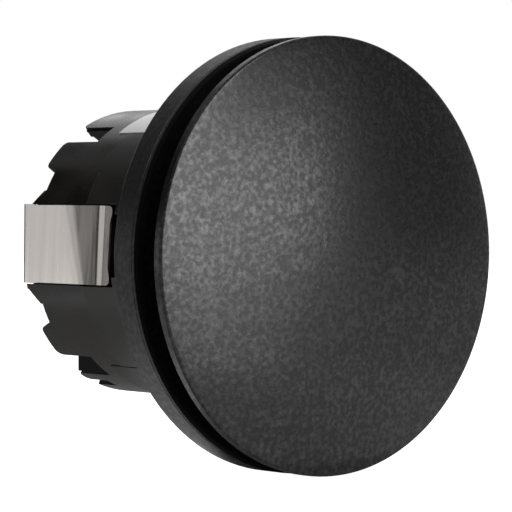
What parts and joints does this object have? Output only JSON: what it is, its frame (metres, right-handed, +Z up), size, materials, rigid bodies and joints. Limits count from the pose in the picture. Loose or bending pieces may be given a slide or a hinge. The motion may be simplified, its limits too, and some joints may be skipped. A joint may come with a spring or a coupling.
{
  "type": "wall step light",
  "caption": "Round black recessed wall step light: a domed cap stands off a flange so light leaves all round, with a toothed rear housing and sprung steel side clips.",
  "frame": {"origin": "centre of the body in the plane of the wall's surface, which is the flange's back face", "axes": "+Y goes into the wall along the body's axis, the cap faces -Y into the room, +Z is up on the wall, +X is to the right as seen from the room"},
  "size_m": [0.085, 0.0663, 0.085],
  "materials": {
    "cap_coat": "fine textured powder coat",
    "flange_coat": "fine textured powder coat",
    "bare_casting": "turned bare die casting",
    "carrier_plastic": "satin moulding",
    "housing_plastic": "smooth moulding",
    "spring_steel": "cold-rolled, plain",
    "zinc_steel": "zinc plated",
    "opal_plastic": "opal",
    "white_laminate": "white solder resist",
    "diode_gel": "phosphor gel",
    "pad_silicone": "soft",
    "insulating_film": "satin",
    "driver_laminate": "solder resist",
    "ferrite": "sintered",
    "winding_tape": "wound tape",
    "capacitor_sleeve": "shrunk sleeve",
    "film_box": "moulded box",
    "enamelled_wire": "enamelled copper",
    "resistor_lacquer": "lacquer",
    "chip_resin": "moulded resin",
    "terminal_plastic": "satin moulding",
    "clamp_brass": "plain"
  },
  "bodies": {
    "root": {"front_cap": "cap_coat", "cap_screws": "zinc_steel", "trim_flange": "flange_coat", "flange_screws": "zinc_steel", "opal_cover": "opal_plastic", "light_board": "white_laminate", "light_diodes": "diode_gel", "heat_pad": "pad_silicone", "heat_sink": "bare_casting", "clip_carrier_left": "carrier_plastic", "clip_carrier_right": "carrier_plastic", "rear_housing": "housing_plastic", "housing_screws": "zinc_steel", "insulating_disc": "insulating_film", "driver_board": "driver_laminate", "driver_screws": "zinc_steel", "transformer_core": "ferrite", "transformer_winding": "winding_tape", "mains_capacitor": "capacitor_sleeve", "output_capacitor": "capacitor_sleeve", "film_capacitor": "film_box", "choke_coil": "enamelled_wire", "fuse_resistor": "resistor_lacquer", "rectifier": "chip_resin", "driver_chip": "chip_resin", "terminal_block": "terminal_plastic", "terminal_clamps": "clamp_brass", "terminal_screws": "zinc_steel"},
    "clip_left": {"spring_clip_left": "spring_steel"},
    "clip_right": {"spring_clip_right": "spring_steel"}
  },
  "joints": [
    {"name": "clip_left_press", "type": "slide", "parent": "root", "child": "clip_left", "axis": [0.9978, 0, -0.0663], "range_m": [0, 0.0014], "stiffness_N_per_m": 6000, "springref_m": -0.0008},
    {"name": "clip_right_press", "type": "slide", "parent": "root", "child": "clip_right", "axis": [-0.9978, 0, 0.0663], "range_m": [0, 0.0014], "stiffness_N_per_m": 6000, "springref_m": -0.0008}
  ]
}
